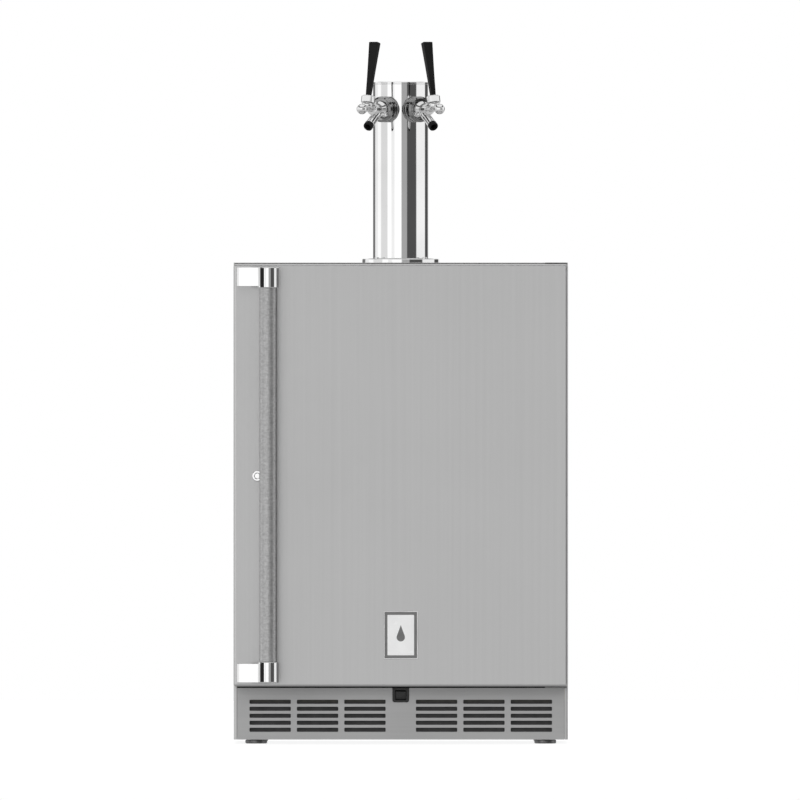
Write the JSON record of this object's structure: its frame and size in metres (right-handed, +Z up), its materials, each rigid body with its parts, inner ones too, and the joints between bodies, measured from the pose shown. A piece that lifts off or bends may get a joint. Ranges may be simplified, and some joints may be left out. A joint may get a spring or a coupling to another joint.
{
  "type": "kegerator",
  "caption": "Undercounter kegerator: insulated cabinet, hinged locking door with tube handle, vented toe grille, levelling feet and a draft tower with lever taps.",
  "frame": {"origin": "on the floor, under the middle of the object's bounding box (the door handle is the front limit and the back panel the rear limit)", "axes": "+Z up, -Y out of the door front, +X to the right as seen from the front (hinge side)"},
  "size_m": [0.6064, 0.673, 1.2755],
  "materials": {
    "stainless": "fine brushed, satin",
    "liner_steel": "dull brushed",
    "chrome": "polished mirror",
    "etched_steel": "etched satin grip",
    "galvanised": "galvanised steel sheet",
    "dark_metal": "dark plated steel",
    "aluminium": "bare fin stock",
    "black_paint": "semi-gloss black enamel",
    "black_plastic": "moulded satin black",
    "white_plastic": "moulded satin white",
    "frosted_lens": "frosted translucent",
    "rubber": "soft grey-black vinyl seal",
    "foam": "rigid cell foam",
    "brass": "turned",
    "badge": "polished blank plate"
  },
  "bodies": {
    "cabinet": {"side_panel_left": "stainless", "side_panel_right": "stainless", "top_panel": "stainless", "front_frame": "stainless", "toe_grille": "stainless", "liner_wrap": "liner_steel", "liner_floor": "liner_steel", "liner_ceiling": "liner_steel", "liner_hump": "liner_steel", "tower_flange": "chrome", "tower_tube": "chrome", "tower_cap": "chrome", "shank_left": "chrome", "shank_right": "chrome", "coupling_nut_left": "chrome", "coupling_nut_right": "chrome", "faucet_body_left": "chrome", "faucet_body_right": "chrome", "back_panel": "galvanised", "machine_cover": "galvanised", "base_pan": "galvanised", "lock_strike": "galvanised", "hinge_top": "dark_metal", "hinge_bottom": "dark_metal", "condenser": "aluminium", "evaporator": "aluminium", "compressor": "black_paint", "switch_housing": "black_plastic", "condenser_fan_frame": "black_plastic", "power_inlet": "black_plastic", "spout_tip_left": "black_plastic", "spout_tip_right": "black_plastic", "evaporator_cover": "white_plastic", "control_module": "white_plastic", "interior_light": "frosted_lens", "insulation": "foam"},
    "door": {"door_skin": "stainless", "door_foam": "foam", "door_inner_panel": "white_plastic", "door_gasket": "rubber", "hinge_bush_top": "brass", "hinge_bush_bottom": "brass", "handle_tube": "etched_steel", "handle_bracket_top": "chrome", "handle_bracket_bottom": "chrome", "badge_plate": "badge", "lock_barrel": "chrome"},
    "lock_core": {"lock_core": "chrome"},
    "tap_left": {"tap_lever_left": "chrome", "tap_handle_left": "black_plastic"},
    "tap_right": {"tap_lever_right": "chrome", "tap_handle_right": "black_plastic"},
    "power_rocker": {"power_rocker": "black_plastic"},
    "condenser_fan": {"condenser_fan": "black_plastic"},
    "evaporator_fan": {"evaporator_fan": "black_plastic"},
    "thermostat_dial": {"thermostat_dial": "black_plastic"},
    "foot_front_left": {"foot_front_left": "dark_metal"},
    "foot_front_right": {"foot_front_right": "dark_metal"},
    "foot_back_left": {"foot_back_left": "dark_metal"},
    "foot_back_right": {"foot_back_right": "dark_metal"}
  },
  "joints": [
    {"name": "door_hinge", "type": "hinge", "parent": "cabinet", "child": "door", "pos_m": [0.289, -0.2535, 0.48725], "axis": [0, 0, 1], "range_deg": [0, 110]},
    {"name": "lock_turn", "type": "hinge", "parent": "door", "child": "lock_core", "pos_m": [-0.26, -0.2735, 0.486], "axis": [0, 1, 0], "range_deg": [0, 90]},
    {"name": "tap_left_lever", "type": "hinge", "parent": "cabinet", "child": "tap_left", "pos_m": [-0.06056, -0.0824, 1.1597], "axis": [0.8829, -0.4695, 0], "range_deg": [0, 38]},
    {"name": "tap_right_lever", "type": "hinge", "parent": "cabinet", "child": "tap_right", "pos_m": [0.06056, -0.0824, 1.1597], "axis": [0.8829, 0.4695, 0], "range_deg": [0, 38]},
    {"name": "power_rocker_tilt", "type": "hinge", "parent": "cabinet", "child": "power_rocker", "pos_m": [0, -0.2102, 0.0882], "axis": [-1, 0, 0], "range_deg": [0, 14]},
    {"name": "condenser_fan_spin", "type": "hinge", "parent": "cabinet", "child": "condenser_fan", "pos_m": [0.084, 0.2825, 0.12], "axis": [1, 0, 0], "continuous": true},
    {"name": "evaporator_fan_spin", "type": "hinge", "parent": "cabinet", "child": "evaporator_fan", "pos_m": [0, 0.2365, 0.72], "axis": [0, 1, 0], "continuous": true},
    {"name": "thermostat_turn", "type": "hinge", "parent": "cabinet", "child": "thermostat_dial", "pos_m": [0, -0.1835, 0.794], "axis": [0, 0, 1], "range_deg": [0, 270]},
    {"name": "foot_front_left_height", "type": "slide", "parent": "cabinet", "child": "foot_front_left", "axis": [0, 0, -1], "range_m": [0, 0.018]},
    {"name": "foot_front_right_height", "type": "slide", "parent": "cabinet", "child": "foot_front_right", "axis": [0, 0, -1], "range_m": [0, 0.018]},
    {"name": "foot_back_left_height", "type": "slide", "parent": "cabinet", "child": "foot_back_left", "axis": [0, 0, -1], "range_m": [0, 0.018]},
    {"name": "foot_back_right_height", "type": "slide", "parent": "cabinet", "child": "foot_back_right", "axis": [0, 0, -1], "range_m": [0, 0.018]}
  ]
}
